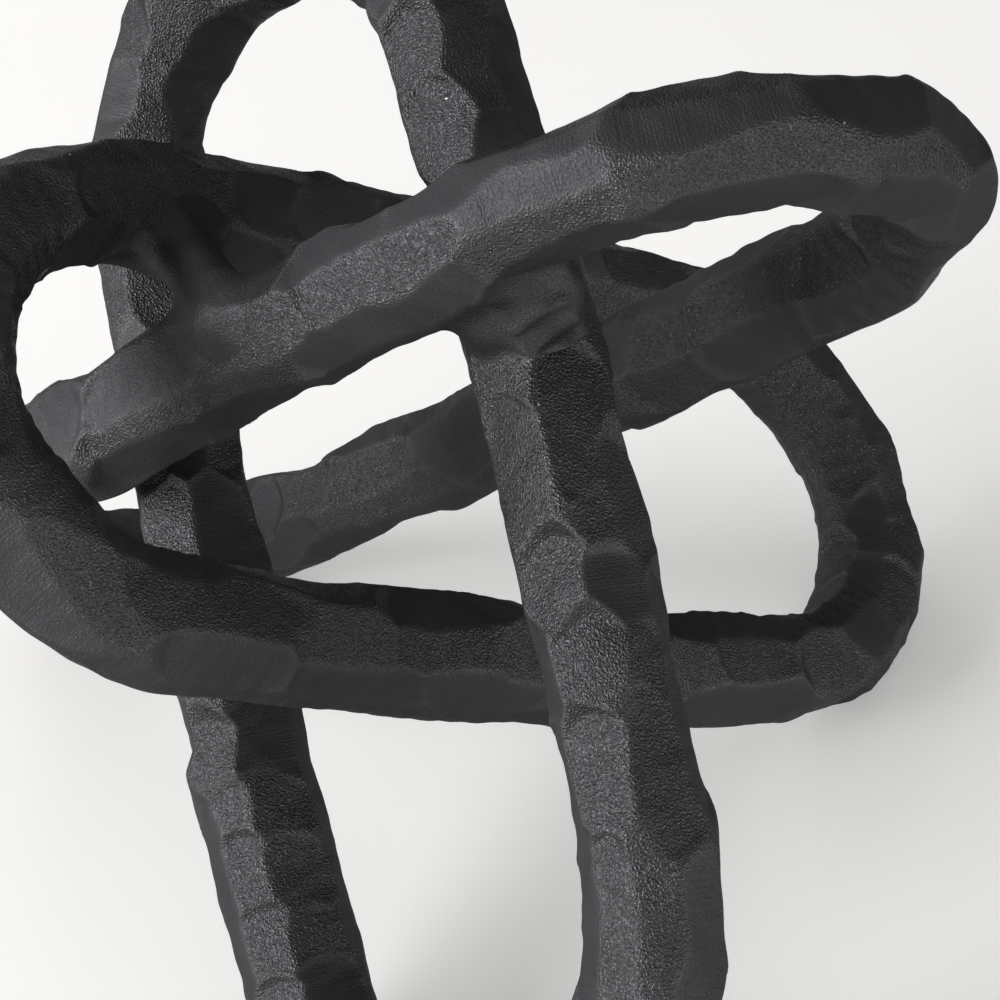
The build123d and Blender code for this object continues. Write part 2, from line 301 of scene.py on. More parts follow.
class KnotSizes(bpy.types.PropertyGroup):
    """Sizes of the bar and the rings, and the place and tilt of each ring."""

    bar_width: FloatProperty(
        name="Bar width", description="Width of the bar across its flats", default=0.019, unit="LENGTH"
    )
    bar_chamfer: FloatProperty(
        name="Bar chamfer", description="Chamfer of the bar's corners", default=0.005, unit="LENGTH"
    )
    ring_length: FloatProperty(
        name="Ring length", description="Length of a ring, centre to centre of its bar at the ends",
        default=0.2, unit="LENGTH",
    )
    end_radius: FloatProperty(
        name="End radius", description="Radius of the bends at both ends", default=0.037, unit="LENGTH"
    )
    side_radius: FloatProperty(
        name="Side radius", description="Radius of the bowed long sides", default=0.9, unit="LENGTH"
    )
    rest_depth: FloatProperty(
        name="Rest depth", description="How far each foot is ground flat", default=0.0006, unit="LENGTH"
    )
    seam_width: FloatProperty(
        name="Seam width", description="Width of a filled seam", default=0.006, unit="LENGTH"
    )
    seam_root: FloatProperty(
        name="Seam root", description="Width of the metal left at a seam's root", default=0.011, unit="LENGTH"
    )
    slanted_place: FloatVectorProperty(
        name="Slanted place", description="Middle of the slanted ring on the floor", size=2,
        default=(-0.0045, 0.0227), unit="LENGTH",
    )
    slanted_tilt: FloatVectorProperty(
        name="Slanted tilt", description="Lean, rise and turn of the slanted ring", subtype="EULER",
        default=(radians(137.5), radians(-39.5), radians(-21.0)),
    )
    wide_place: FloatVectorProperty(
        name="Wide place", description="Middle of the wide ring on the floor", size=2,
        default=(0.0087, 0.0258), unit="LENGTH",
    )
    wide_tilt: FloatVectorProperty(
        name="Wide tilt", description="Lean, rise and turn of the wide ring", subtype="EULER",
        default=(radians(32.0), radians(28.5), radians(29.5)),
    )
    upright_place: FloatVectorProperty(
        name="Upright place", description="Middle of the upright ring on the floor", size=2,
        default=(-0.0073, -0.0089), unit="LENGTH",
    )
    upright_tilt: FloatVectorProperty(
        name="Upright tilt", description="Lean, rise and turn of the upright ring", subtype="EULER",
        default=(radians(51.5), radians(35.5), radians(-74.0)),
    )


class KnotFinish(bpy.types.PropertyGroup):
    """Hammer marks, cast grain and colours."""

    seed: IntProperty(name="Seed", description="Choice of the marks that aren't placed by hand", default=7)
    columns: IntProperty(name="Columns", description="Rows of small marks round the bar", default=8)
    mark_length: FloatProperty(
        name="Mark length", description="Usual length of a hammer mark", default=0.017, unit="LENGTH"
    )
    mark_depth: FloatProperty(
        name="Mark depth", description="Usual depth of a small mark", default=0.0006, unit="LENGTH"
    )
    grain_size: FloatProperty(
        name="Grain size", description="Size of the cast grain", default=0.00034, unit="LENGTH", precision=5
    )
    grain_height: FloatProperty(
        name="Grain height", description="Height of the cast grain", default=0.00034, unit="LENGTH",
        precision=5,
    )
    coat_colour: FloatVectorProperty(
        name="Coat colour", description="Matte black coat", subtype="COLOR",
        default=(0.053, 0.0529, 0.0565),
    )
    worn_colour: FloatVectorProperty(
        name="Worn colour", description="Coat thinned on ridges", subtype="COLOR",
        default=(0.0745, 0.0743, 0.078),
    )
    weld_colour: FloatVectorProperty(
        name="Weld colour", description="Coat over weld", subtype="COLOR",
        default=(0.0465, 0.0464, 0.0495),
    )
    dust_colour: FloatVectorProperty(
        name="Dust colour", description="Specks of dust", subtype="COLOR", default=(0.5, 0.5, 0.5)
    )


class KnotStage(bpy.types.PropertyGroup):
    """Floor, lights and camera."""

    floor_colour: FloatVectorProperty(
        name="Floor colour", description="Pale floor", subtype="COLOR", default=(0.93, 0.918, 0.902)
    )
    # Painted glow: the floor gives off light of its own, which lightens the shadows cast on it
    floor_painted_glow: FloatProperty(
        name="Floor glow", description="Light from under the floor, as on a lit table", default=0.28,
        subtype="FACTOR",
    )
    key_power: FloatProperty(
        name="Key power", description="Soft light at the left", default=48.0, unit="POWER"
    )
    back_power: FloatProperty(
        name="Back power", description="Soft light behind", default=19.5, unit="POWER"
    )
    top_power: FloatProperty(
        name="Top power", description="Soft light overhead", default=6.5, unit="POWER"
    )
    fill_power: FloatProperty(
        name="Fill power", description="Low strip of light at the right", default=15.0, unit="POWER"
    )
    camera_place: FloatVectorProperty(
        name="Camera place", description="Where the camera stands", subtype="XYZ", unit="LENGTH",
        default=(0.0127, -0.3002, 0.3243),
    )
    camera_down: FloatProperty(
        name="Camera down", description="How far the camera looks down", default=radians(39.76),
        unit="ROTATION",
    )
    lens: FloatProperty(
        name="Lens", description="Focal length for a 36 mm sensor", default=86.4, unit="CAMERA"
    )


class HammeredRing:
    """One ring: an oval of four tangent arcs in a tilted plane, resting on the floor, and its hammer marks.

    A place s on it is counted in millimetres from the head, along the upper side first.
    """

    def __init__(self, scene, name):
        sizes = scene.knot_sizes
        self.name = name
        self.bar = sizes.bar_width / MM
        self.chamfer = sizes.bar_chamfer / MM
        self.seam_half = sizes.seam_width / MM / 2
        self.root_share = sizes.seam_root / sizes.bar_width
        self.end_radius = sizes.end_radius / MM
        self.side_radius = sizes.side_radius / MM
        self.end_x = sizes.ring_length / MM / 2 - self.end_radius
        self.side_y = sqrt((self.side_radius - self.end_radius) ** 2 - self.end_x**2)
        self.end_angle = atan2(self.side_y, self.end_x)
        self.bend_x = self.side_radius * cos(self.end_angle)
        self.end_run = 2 * self.end_angle * self.end_radius
        self.side_run = (pi - 2 * self.end_angle) * self.side_radius
        self.around = 2 * (self.end_run + self.side_run)
        x, y = getattr(sizes, f"{name}_place")
        self.turn = np.array(Euler(getattr(sizes, f"{name}_tilt"), "XYZ").to_matrix())
        self.middle = np.array((x / MM, y / MM, self.rest_height(sizes.rest_depth / MM)))
        self.seed = scene.knot_finish.seed + RING_NAMES.index(name)
        self.marks = ring_marks(self, scene.knot_finish)

    def bend(self, s):
        """How sharply the centreline bends at a place: one over its radius there."""
        at_end = (s + self.end_run / 2) % (self.around / 2) < self.end_run
        return 1 / (self.end_radius if at_end else self.side_radius)

    def rest_height(self, depth):
        """Height of the middle: the low end's arc and the chamfered bar under it reach the floor."""
        slope = hypot(self.turn[2, 0], self.turn[2, 1])
        edge_on = abs(self.turn[2, 2])
        half = self.bar / 2
        corner = half - self.chamfer
        bar_reach = max(half * slope + corner * edge_on, corner * slope + half * edge_on)
        return self.end_x * abs(self.turn[2, 0]) + self.end_radius * slope + bar_reach - depth

    def centreline(self, s):
        """Points, outward directions and the ring's axis at places s.

        Each arc has its centre on an axis of the oval: the point is the centre plus the radius times the
        outward direction, whose angle grows with the place divided by the radius.
        """
        u = np.mod(s + self.end_run / 2, self.around)
        stops = np.cumsum((self.end_run, self.side_run, self.end_run))
        on = [u < stops[0], u < stops[1], u < stops[2]]
        angle = np.select(
            on,
            [
                u / self.end_radius - self.end_angle,
                (u - stops[0]) / self.side_radius + self.end_angle,
                (u - stops[1]) / self.end_radius + pi - self.end_angle,
            ],
            (u - stops[2]) / self.side_radius + self.end_angle - pi,
        )
        radius = np.select(on, [self.end_radius, self.side_radius, self.end_radius], self.side_radius)
        centre_x = np.select(on, [self.end_x, 0.0, -self.end_x], 0.0)
        centre_y = np.select(on, [0.0, -self.side_y, 0.0], self.side_y)
        flat = np.stack((np.cos(angle), np.sin(angle), np.zeros_like(angle)), -1)
        local = radius[..., None] * flat
        local[..., 0] += centre_x
        local[..., 1] += centre_y
        return local @ self.turn.T + self.middle, flat @ self.turn.T, self.turn[:, 2]

    def nearest(self, points):
        """Place and side on the bar nearest to points, and their distance from the centreline.

        The oval's four quarters are alike, so a point is folded into one quarter, where the end's arc or the
        side's arc is nearest. The place is that arc's angle times its radius, unfolded again.
        """
        local = (points - self.middle) @ self.turn
        x, y, z = np.abs(local[..., 0]), np.abs(local[..., 1]), local[..., 2]
        end_turn = np.arctan2(y, x - self.end_x)
        side_turn = np.arctan2(x, y + self.side_y)
        at_end = end_turn < self.end_angle
        end_gap = np.hypot(x - self.end_x, y) - self.end_radius
        side_gap = np.hypot(x, y + self.side_y) - self.side_radius
        gap = np.where(at_end, end_gap, side_gap)
        on_side = self.around / 4 - side_turn * self.side_radius
        quarter = np.where(at_end, end_turn * self.end_radius, on_side)
        s = np.where(local[..., 0] < 0, self.around / 2 - quarter, quarter)
        s = np.where(local[..., 1] < 0, self.around - s, s)
        return s, np.arctan2(z, gap), np.hypot(gap, z)

    def places(self):
        """A fine row of places all round the ring."""
        return np.linspace(0, self.around, PLACE_STEPS, endpoint=False)

    def place_at(self, degrees_from_head):
        """Place on the centreline in a direction from the ring's middle."""
        s = self.places()
        local = (self.centreline(s)[0] - self.middle) @ self.turn
        off = turn_from(np.arctan2(local[:, 1], local[:, 0]), degrees_from_head)
        return s[np.abs(off).argmin()]

    def seam_places(self, end, upper, lower):
        """Places of the two seams, from their distances to the bend of the shorter half."""
        reach_up = end * (self.bend_x - upper)
        reach_low = end * (self.bend_x - lower)
        up = self.end_run / 2 + (np.arccos(reach_up / self.side_radius) - self.end_angle) * self.side_radius
        low = self.around - self.end_run / 2
        low -= (np.arccos(reach_low / self.side_radius) - self.end_angle) * self.side_radius
        return up, low


def turn_from(angle, degrees):
    """Angles counted from a direction, in radians between minus and plus half a turn."""
    return np.angle(np.exp(1j * (angle - radians(degrees))))


def ring_marks(ring, finish):
    """All marks of a ring: those of the front, one for each beat on the far side, and scattered ones."""
    large = [Mark(*values) for values in FRONT_MARKS[ring.name]]
    for beat in range(int(ring.around // BEAT)):
        side = BEAT_SIDE + BEAT_SWAY * (-1) ** beat
        large.append(Mark(beat * BEAT + BEAT_LENGTH, beat * BEAT, side, BEAT_DEPTH, BEAT_RISE, 0))
    return large + scattered_marks(ring, finish, large)


def scattered_marks(ring, finish, large_marks):
    """Hammer marks in rows round the bar, with jittered lengths, sides and depths.

    Marks that would lie on a larger one are left out.
    """
    random = np.random.default_rng(ring.seed)
    usual = finish.mark_length / MM
    depth = finish.mark_depth / MM
    step = 360 / finish.columns
    count = round(ring.around / usual)
    marks = []
    for column in range(finish.columns):
        cuts = np.cumsum(random.uniform(*SCATTER_LENGTHS, count))
        cuts *= ring.around / cuts[-1]
        cuts += random.uniform(0, usual)
        sides = column * step + random.normal(0, step * SCATTER_SIDE, count)
        depths = depth * random.uniform(*SCATTER_DEPTHS, count)
        rises = depth * random.uniform(*SCATTER_RISES, count)
        ground = random.random(count) < SCATTER_GROUND
        for i in range(count):
            end = cuts[i - 1] - (ring.around if i == 0 else 0)
            side = (sides[i] + 180) % 360 - 180
            mark = Mark(cuts[i], end, side, depths[i], rises[i], float(ground[i]))
            if not any(covers(ring, large, mark) for large in large_marks):
                marks.append(mark)
    return marks


def covers(ring, large, mark):
    """Whether a large mark takes the place of a scattered one."""
    turned = abs((large.side - mark.side + 180) % 360 - 180)
    middle = (mark.start + mark.end) / 2
    large_middle = (large.start + large.end) / 2
    apart = abs((middle - large_middle + ring.around / 2) % ring.around - ring.around / 2)
    return turned < COVER_TURN and apart < (abs(large.start - large.end) + abs(mark.start - mark.end)) / 2


def skin_height(ring, side):
    """Height of the bar's flat that faces a side: half its width, or its chamfer's distance."""
    diagonal = (ring.bar - ring.chamfer) / sqrt(2)
    return np.where(np.abs(np.mod(side + 45, 90) - 45) < 22.5, ring.bar / 2, diagonal)


def ripples(ring, s, side, random, height, least, limit, twists, count):
    """A sum of cosine waves along and twisting round the bar, whole numbers of them so that they close."""
    total = np.zeros(np.broadcast(s, side).shape)
    for _ in range(count):
        waves = random.integers(least, limit)
        twist = random.integers(-twists, twists + 1)
        phase = random.uniform(0, 2 * pi)
        total += height * np.cos(2 * pi * waves * s / ring.around + twist * side + phase)
    return total


def mark_radius(ring, mark, s, side):
    """Radius of the bar under one mark at places s and sides (radians).

    A mark is a shallow scoop with rounded ends: its height over the axis rises from the deep end to the
    shallow end, dips in the middle, and climbs past either end. Across, it is a plane, so its radius is the
    height over the cosine of the angle from its side, a little crowned. Outside a bend it is a chord.
    """
    length = abs(mark.end - mark.start)
    middle = (mark.start + mark.end) / 2
    along = np.mod(s - middle + ring.around / 2, ring.around) - ring.around / 2
    t = along * np.sign(mark.end - mark.start) / length
    turned = turn_from(side, mark.side)
    tongue = 0.5 - TONGUE_PULL * np.minimum(np.abs(turned) / TONGUE_TURN, TONGUE_LIMIT) ** 2
    height = skin_height(ring, mark.side) - mark.depth + mark.rise * np.clip(t, -RISE_REACH, RISE_REACH)
    height = height - DIP * (1 - 4 * np.minimum(np.abs(t), 0.5) ** 2)
    wall = WALL_SLOPE + WALL_STEEPENING * mark.rise
    height = height + length * (wall * np.maximum(-tongue - t, 0) + LIP_SLOPE * np.maximum(t - tongue, 0))
    chord = max(cos(radians(mark.side)), 0.0) * ring.bend(middle) / 2
    height = height + chord * np.minimum(np.abs(along), length) ** 2
    return (height / np.maximum(np.cos(turned), LEAST_COSINE) ** CROWN).astype(np.float32)


def hammered_bar(ring, s, side):
    """Radius of the bar, ground share and ridge share at places s and sides (radians).

    The bar is the least of all the marks' radii and a round limit, taken as a soft minimum. Ripples bend the
    marks' edges and roughen the bar.
    """
    random = np.random.default_rng(ring.seed)
    sway = ripples(ring, s, side, random, *EDGE_SWAY)
    twist = ripples(ring, s, side, random, *EDGE_TWIST)
    s = s + sway
    side = side + twist
    radii = [np.full(s.shape, ring.bar / 2 * ROUND_LIMIT, np.float32)]
    radii.extend(mark_radius(ring, mark, s, side) for mark in ring.marks)
    radii = np.array(radii)
    ground = np.array([0.0, *(mark.ground for mark in ring.marks)], np.float32)
    least = radii.min(0)
    share = np.exp((least - radii) / EDGE_SOFTNESS)
    total = share.sum(0)
    radius = least - EDGE_SOFTNESS * np.log(total)
    ground_share = np.tensordot(ground, share, 1) / total
    ridge = 1 - 1 / np.exp((least - radii) / RIDGE_WIDTH).sum(0)
    radius = radius + ripples(ring, s, side, random, *BAR_WAVES)
    radius = radius + ripples(ring, s, side, random, *FINE_WAVES)
    return radius, ground_share, ridge


def round_bar(columns):
    """A row of sides all round the bar."""
    return np.linspace(-pi, pi, columns, endpoint=False)[None, :]


def bar_points(ring, s, side, radius):
    """Points of the bar: the centreline plus the radius along the side's direction."""
    centre, outward, axis = ring.centreline(s)
    direction = np.cos(side)[..., None] * outward + np.sin(side)[..., None] * axis
    return centre + radius[..., None] * direction


def bar_patch(ring, s, side, radius):
    """Points of a stretch of bar, and where each would lie if the bar were pulled straight, for patterns."""
    s, side = np.broadcast_arrays(s, side)
    pulled = np.stack((radius * np.cos(side), radius * np.sin(side), s), -1) * MM
    return bar_points(ring, s, side, radius).reshape(-1, 3), pulled.reshape(-1, 3)


def grid_faces(rows, columns, closed_rows=False):
    """Quads of a grid that closes round its columns, and round its rows too if asked."""
    last = rows if closed_rows else rows - 1
    i, j = np.meshgrid(np.arange(last), np.arange(columns), indexing="ij")
    row = i * columns
    below = (i + 1) % rows * columns
    beside = (j + 1) % columns
    return np.stack((row + j, row + beside, below + beside, below + j), -1).reshape(-1, 4)


def pole_faces(rows, columns):
    """Triangles that close a grid's first and last row over two poles, which follow the grid's points."""
    j = np.arange(columns)
    beside = (j + 1) % columns
    base = (rows - 1) * columns
    pole = np.full(columns, rows * columns)
    first = np.stack((beside, j, pole), -1)
    last = np.stack((base + j, base + beside, pole + 1), -1)
    return np.concatenate((first, last))


def add_mesh(context, node, kind, slot, points, quads, triangles, **values):
    """A smooth mesh object in the row's frame, kept inside the CAD box, that stands for a CAD node."""
    name = f"{node}_{kind}"
    low, high = (np.array(corner) for corner in CAD_BOX)
    points = np.clip(points * MM, low, high)
    mesh = bpy.data.meshes.new(name)
    loops = np.concatenate((quads.ravel(), triangles.ravel()))
    sizes = np.concatenate((np.full(len(quads), 4), np.full(len(triangles), 3)))
    starts = np.concatenate(((0,), np.cumsum(sizes)[:-1]))
    mesh.vertices.add(len(points))
    mesh.vertices.foreach_set("co", points.astype(np.float32).ravel())
    mesh.loops.add(len(loops))
    mesh.loops.foreach_set("vertex_index", loops.astype(np.int32))
    mesh.polygons.add(len(sizes))
    mesh.polygons.foreach_set("loop_start", starts.astype(np.int32))
    mesh.update(calc_edges=True)
    mesh.shade_smooth()
    for label, data in values.items():
        type_name, field = ("FLOAT_VECTOR", "vector") if data.ndim == 2 else ("FLOAT", "value")
        attribute = mesh.attributes.new(label, type_name, "POINT")
        attribute.data.foreach_set(field, np.ascontiguousarray(data, np.float32).ravel())
    if mesh.validate():
        raise RuntimeError(f"{name} has broken faces")
    mesh.materials.append(coat(context.scene.knot_finish, slot))
    piece = bpy.data.objects.new(name, mesh)
    context.scene.collection.objects.link(piece)
    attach(piece, BODY)
    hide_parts(node)


def casting(context, ring, begin, end, half):
    """One half of a ring: the hammered bar between two seams, beveled to a root and closed by a flat end.

    The grid's rows run along the bar. The last row at each end lies at the seam's place and at its root, a
    share of the bar's radius, and a pole on the centreline closes it.
    """
    if end < begin:
        end += ring.around
    first, last = begin + ring.seam_half, end - ring.seam_half
    count = round((end - begin - 2 * ring.seam_half) / ROW_STEP)
    s = np.concatenate(((begin,), np.linspace(first, last, count), (end,)))[:, None]
    side = round_bar(AROUND)
    radius, ground, ridge = hammered_bar(ring, s, side)
    radius[(0, -1), :] *= ring.root_share
    points, pulled = bar_patch(ring, s, side, radius)
    poles = ring.centreline(np.array((begin, end)))[0]
    rows = len(s)
    add_mesh(
        context, f"{ring.name}_ring_{half}", "casting", "cast_metal", np.concatenate((points, poles)),
        grid_faces(rows, AROUND), pole_faces(rows, AROUND), bar_place=np.pad(pulled, ((0, 2), (0, 0))),
        ground=np.pad(ground.ravel(), (0, 2)), ridge=np.pad(ridge.ravel(), (0, 2)),
    )


def seam_band(context, ring, place, name):
    """A filled seam: the bar's own surface, dressed a little lower at its edges, over a V down to the root.

    The grid closes both ways: its rows cross the seam outside and come back along the root.
    """
    count = round(2 * ring.seam_half / ROW_STEP) + 1
    across = np.linspace(-1, 1, count)
    s = np.concatenate((place + ring.seam_half * across, (place,)))[:, None]
    side = round_bar(AROUND)
    radius, _, ridge = hammered_bar(ring, s, side)
    radius[:-1] -= SEAM_DRESSING * across[:, None] ** SEAM_DRESSING_POWER
    radius[-1] *= ring.root_share
    points, pulled = bar_patch(ring, s, side, radius)
    no_caps = np.zeros((0, 3), int)
    add_mesh(
        context, f"{ring.name}_ring_{name}_seam", "band", "cast_metal", points,
        grid_faces(len(s), AROUND, closed_rows=True), no_caps, bar_place=pulled,
        ground=np.ones(radius.size), ridge=ridge.ravel(),
    )


def make_ring(context, ring):
    """The two castings and two seams of a ring."""
    end, upper, lower, upper_name, lower_name = SEAMS[ring.name]
    up, low = ring.seam_places(end, upper, lower)
    casting(context, ring, low, up, HEAD_HALF[ring.name])
    casting(context, ring, up, low, TAIL_HALF[ring.name])
    seam_band(context, ring, up, upper_name)
    seam_band(context, ring, low, lower_name)


def hammered_skin(ring):
    """A function that gives how far points lie outside a ring's hammered bar.

    The bar's radius is worked out once, on a grid that closes both ways, and read between the grid's points.
    """
    s = np.linspace(0, ring.around, round(ring.around / SKIN_STEP), endpoint=False)[:, None]
    radius = hammered_bar(ring, s, round_bar(SKIN_AROUND))[0]
    rows, columns = radius.shape

    def outside(points):
        """Distance from the centreline less the bar's radius at the nearest place and side."""
        place, turn, distance = ring.nearest(points)
        i = place / ring.around * rows
        j = (turn / pi + 1) / 2 * columns
        row, column = np.floor(i).astype(int), np.floor(j).astype(int)
        down, across = i - row, j - column
        corners = (
            ((1 - down) * (1 - across), 0, 0), ((1 - down) * across, 0, 1),
            (down * (1 - across), 1, 0), (down * across, 1, 1),
        )
        for share, below, beside in corners:
            distance = distance - share * radius[(row + below) % rows, (column + beside) % columns]
        return distance

    return outside


def rod_gap(points, begin, end):
    """Distance of points from a straight axis, and the share of the axis at which each is nearest."""
    span = np.subtract(end, begin)
    share = np.clip((points - begin) @ span / (span @ span), 0, 1)
    return np.linalg.norm(points - begin - share[..., None] * span, axis=-1), share


def rod(begin, end, begin_radius, end_radius):
    """A function that gives how far points lie outside a straight rod with round ends and an even taper."""

    def outside(points):
        """Distance from the rod's axis less its radius there."""
        gap, share = rod_gap(points, begin, end)
        return gap - begin_radius - share * (end_radius - begin_radius)

    return outside


def weld_bead(ring):
    """The shoulder weld's bead, laid in the corner between the bars."""
    place, side, offset, radius = np.array(BEAD_ENDS).T
    return rod(*bar_points(ring, place, np.radians(side), offset), *radius)


def puddled(ring, skin):
    """A bar's skin with the shoulder weld's puddle on it: a bell curve along and round the bar."""

    def outside(points):
        """Distance from the bare skin less the puddle's height."""
        s, side, _ = ring.nearest(points)
        turned = turn_from(side, PUDDLE_SIDE)
        spread = ((s - PUDDLE_PLACE) / PUDDLE_LENGTH) ** 2 + (turned / radians(PUDDLE_TURN)) ** 2
        return skin(points) - PUDDLE_HEIGHT * np.exp(-(spread**2))

    return outside


def ripple_height(ring, points):
    """Height of the shoulder weld's ripples at points: a bell curve of the distance from each ripple's line.

    The distance is taken on the bar's skin laid flat, along the bar and round it.
    """
    s, side, _ = ring.nearest(points)
    flat = np.stack((s, side * ring.bar / 2), -1)
    height = np.zeros(s.shape)
    for ends in SHOULDER_RIPPLES:
        begin, end = ((place, radians(turn) * ring.bar / 2) for place, turn in ends)
        gap, _ = rod_gap(flat, begin, end)
        height = height + RIPPLE_HEIGHT * np.exp(-((gap / RIPPLE_WIDTH) ** 2) / 2)
    return height


def blended_reach(bodies, start, direction, limit, blend):
    """How far rays run inside the metal before they leave it, up to a limit.

    The metal is the smooth union of the bodies: the least of their distances, less a share of the blend where
    two of them are close, and sunk a little. Rays take small equal steps, and the place where one leaves is
    read between its last step inside and its first one outside.
    """
    steps = np.linspace(0, 1, RAY_STEPS)
    points = start[..., None, :] + (steps[:, None] * limit) * direction[..., None, :]
    joined = bodies[0](points)
    for body in bodies[1:]:
        gap = body(points)
        close = np.maximum(blend - np.abs(joined - gap), 0) / blend
        joined = np.minimum(joined, gap) - close**2 * blend / 4
    joined = joined + WELD_SINK
    outside = joined > 0
    first = np.where(outside.any(-1), outside.argmax(-1), RAY_STEPS - 1)
    before = np.maximum(first - 1, 0)
    inner = np.take_along_axis(joined, before[..., None], -1)[..., 0]
    outer = np.take_along_axis(joined, first[..., None], -1)[..., 0]
    share = np.where(outer > 0, np.clip(inner / np.minimum(inner - outer, -1e-6), 0, 1), 0)
    return (before + share * (first - before)) / (RAY_STEPS - 1) * limit


def sphere_grid(rows, columns):
    """Directions of a sphere's grid without its poles, pole axis along Z."""
    polar = np.linspace(0, pi, rows + 2)[1:-1, None]
    turn = np.linspace(0, 2 * pi, columns, endpoint=False)[None, :]
    x, y = np.sin(polar) * np.cos(turn), np.sin(polar) * np.sin(turn)
    return np.stack((x, y, np.cos(polar) + 0 * turn), -1)


def weld_lump(context, node, bodies, centre, rippled=None):
    """A puddle of weld round a crossing: rays from it, each as long as the blended metal is deep there.

    Near the limit the puddle sinks under the bars. Ripples raise the skin over the bar that they lie on.
    """
    limit, blend = WELD_REACH[node]
    direction = sphere_grid(*WELD_GRID)
    start = np.broadcast_to(centre, direction.shape)
    reach = blended_reach(bodies, start, direction, limit, blend)
    free = np.clip((limit - reach) / (WELD_EDGE * limit), 0, 1)
    sway = WELD_SWAY * np.sin(direction @ np.array(WELD_SWAY_WAVE))
    waves = np.sin(direction @ np.array(WELD_WAVE) + sway)
    reach = reach + free * WELD_WAVE_HEIGHT * waves - WELD_EDGE_SINK * (1 - free)
    if rippled is not None:
        reach = reach + ripple_height(rippled, centre + reach[..., None] * direction)
    points = (centre + reach[..., None] * direction).reshape(-1, 3)
    poles = centre + np.array(((0, 0, reach[0].mean()), (0, 0, -reach[-1].mean())))
    quads, caps = grid_faces(*WELD_GRID)[:, ::-1], pole_faces(*WELD_GRID)[:, ::-1]
    add_mesh(context, node, "puddle", "weld_metal", np.concatenate((points, poles)), quads, caps)


def crossing(ring, degrees_from_head, other):
    """Middle between a ring's bar and another's, at a direction on the first."""
    point = ring.centreline(np.array(ring.place_at(degrees_from_head)))[0]
    line = other.centreline(other.places())[0]
    return (point + line[np.linalg.norm(line - point, axis=1).argmin()]) / 2


def bridge_pillar(context, node, slanted, wide):
    """A waisted pillar between two bars: rays run from its axis out to the blended metal's skin.

    Along the axis the rays stand square to it, and at its ends they fan out round it.
    """
    ends = ((slanted, PILLAR_IN_SLANTED), (wide, PILLAR_IN_WIDE))
    start, stop = (
        bar_points(ring, np.array(place), np.radians(side), np.array(offset))
        for ring, (place, side, offset, _) in ends
    )
    axis = (stop - start) / np.linalg.norm(stop - start)
    across = np.cross(axis, (0, 0, 1))
    across /= np.linalg.norm(across)
    third = np.cross(axis, across)
    rows, columns = PILLAR_GRID
    row = np.linspace(0, 1, rows + 2)[1:-1, None]
    turn = np.linspace(0, 2 * pi, columns, endpoint=False)[None, :]
    lean = pi / 2 * (np.maximum(row + PILLAR_FAN - 1, 0) - np.maximum(PILLAR_FAN - row, 0)) / PILLAR_FAN
    radial = np.cos(turn)[..., None] * across + np.sin(turn)[..., None] * third
    direction = np.cos(lean)[..., None] * radial + np.sin(lean)[..., None] * axis
    along = np.clip((row - PILLAR_FAN) / (1 - 2 * PILLAR_FAN), 0, 1)[..., None]
    centre = np.broadcast_to(start + along * (stop - start), direction.shape)
    pillar = rod(start, stop, PILLAR_IN_SLANTED[-1], PILLAR_IN_WIDE[-1])
    bodies = (hammered_skin(slanted), hammered_skin(wide), pillar)
    reach = blended_reach(bodies, centre, direction, PILLAR_REACH, PILLAR_BLEND)
    twisted = np.sin(PILLAR_WAVES_ROUND * turn + PILLAR_WAVE_TWIST * row)
    reach = reach + PILLAR_WAVE_HEIGHT * twisted * np.sin(PILLAR_WAVES_ALONG * pi * row)
    points = (centre + reach[..., None] * direction).reshape(-1, 3)
    poles = np.stack((start - reach[0].mean() * axis, stop + reach[-1].mean() * axis))
    quads, caps = grid_faces(rows, columns), pole_faces(rows, columns)
    add_mesh(context, node, "pillar", "weld_metal", np.concatenate((points, poles)), quads, caps)


def opaque(colour):
    """A colour with full alpha, as sockets take it."""
    return (*colour, 1.0)


def feed(tree, socket, value):
    """Links a socket to another one, or sets it to a plain value."""
    if isinstance(value, bpy.types.NodeSocket):
        tree.links.new(value, socket)
    else:
        socket.default_value = value


def math_node(tree, operation, *values):
    """A Math node fed by sockets or numbers."""
    node = tree.nodes.new("ShaderNodeMath")
    node.operation = operation
    for socket, value in zip(node.inputs, values):
        feed(tree, socket, value)
    return node.outputs[0]


def noise_node(tree, vector, scale, detail, roughness):
    """A Noise Texture's factor."""
    node = tree.nodes.new("ShaderNodeTexNoise")
    for name, value in (("Vector", vector), ("Scale", scale), ("Detail", detail), ("Roughness", roughness)):
        feed(tree, node.inputs[name], value)
    return node.outputs["Fac"]


def mix_colour(tree, share, first, second):
    """A colour between two, each a socket or a plain colour."""
    node = tree.nodes.new("ShaderNodeMix")
    node.data_type = "RGBA"
    feed(tree, node.inputs["Factor"], share)
    feed(tree, node.inputs[MIX_FIRST], first)
    feed(tree, node.inputs[MIX_SECOND], second)
    return node.outputs[MIX_RESULT]


def mesh_value(tree, name, output):
    """A mesh attribute's values."""
    node = tree.nodes.new("ShaderNodeAttribute")
    node.attribute_name = name
    return node.outputs[output]


def group_tree(name, inputs, outputs):
    """An empty shader node group with named sockets, and its input's and output's nodes."""
    tree = bpy.data.node_groups.new(name, "ShaderNodeTree")
    for socket, kind, default in inputs:
        made = tree.interface.new_socket(socket, in_out="INPUT", socket_type=kind)
        if default is not None:
            made.default_value = default
    for socket in outputs:
        tree.interface.new_socket(socket, in_out="OUTPUT", socket_type="NodeSocketFloat")
    return tree, tree.nodes.new("NodeGroupInput").outputs, tree.nodes.new("NodeGroupOutput").inputs


